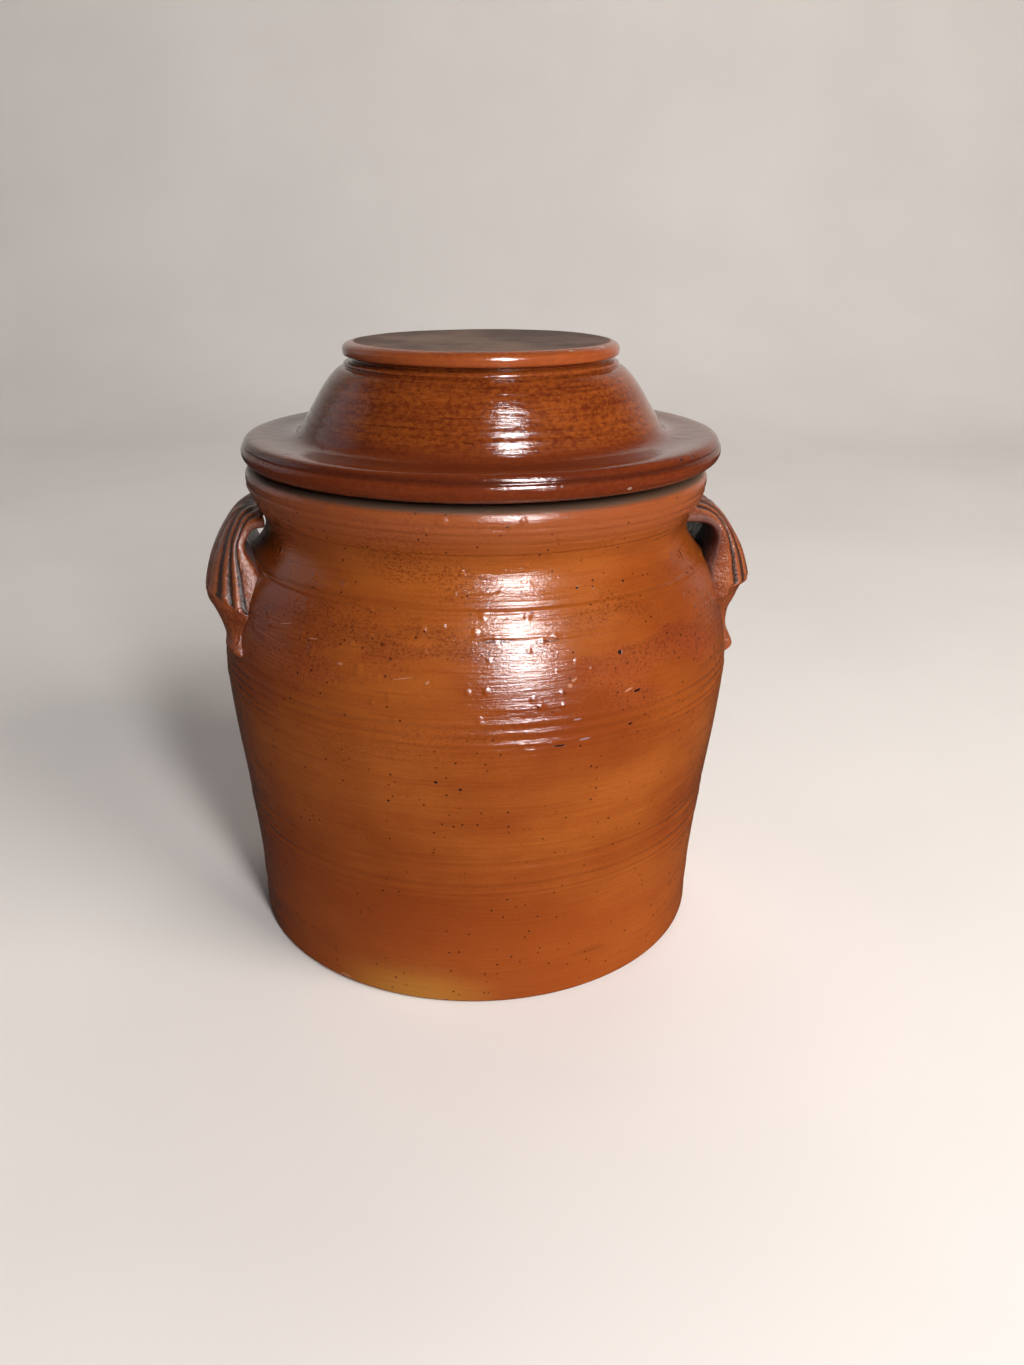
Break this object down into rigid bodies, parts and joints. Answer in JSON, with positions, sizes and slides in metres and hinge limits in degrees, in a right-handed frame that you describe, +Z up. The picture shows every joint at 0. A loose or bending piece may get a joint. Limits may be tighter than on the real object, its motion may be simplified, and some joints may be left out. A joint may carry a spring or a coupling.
{
  "type": "butter crock",
  "caption": "Lidded stoneware butter crock with a round belly, a flared rim, a pulled strap handle on each side and a flat-topped domed lid.",
  "frame": {"origin": "centre of the crock's flat underside", "axes": "+Z up along the axis the pot was thrown on, +X towards the right handle seen from the front, -Y towards the front"},
  "size_m": [0.2548, 0.2372, 0.273],
  "materials": {
    "crock_glaze": "satin orange-brown salt glaze with iron specks",
    "handle_glaze": "glossy red-brown glaze on the ridges, nearly black in the grooves",
    "lid_glaze": "glossy mottled dark red-brown glaze, worn dull on the top disc"
  },
  "bodies": {
    "crock": {"crock_body": "crock_glaze", "handle_left": "handle_glaze", "handle_right": "handle_glaze"},
    "lid": {"lid": "lid_glaze"}
  },
  "joints": [
    {"name": "lid_lift", "type": "slide", "parent": "crock", "child": "lid", "axis": [0, 0, 1], "range_m": [0, 0.15]}
  ]
}
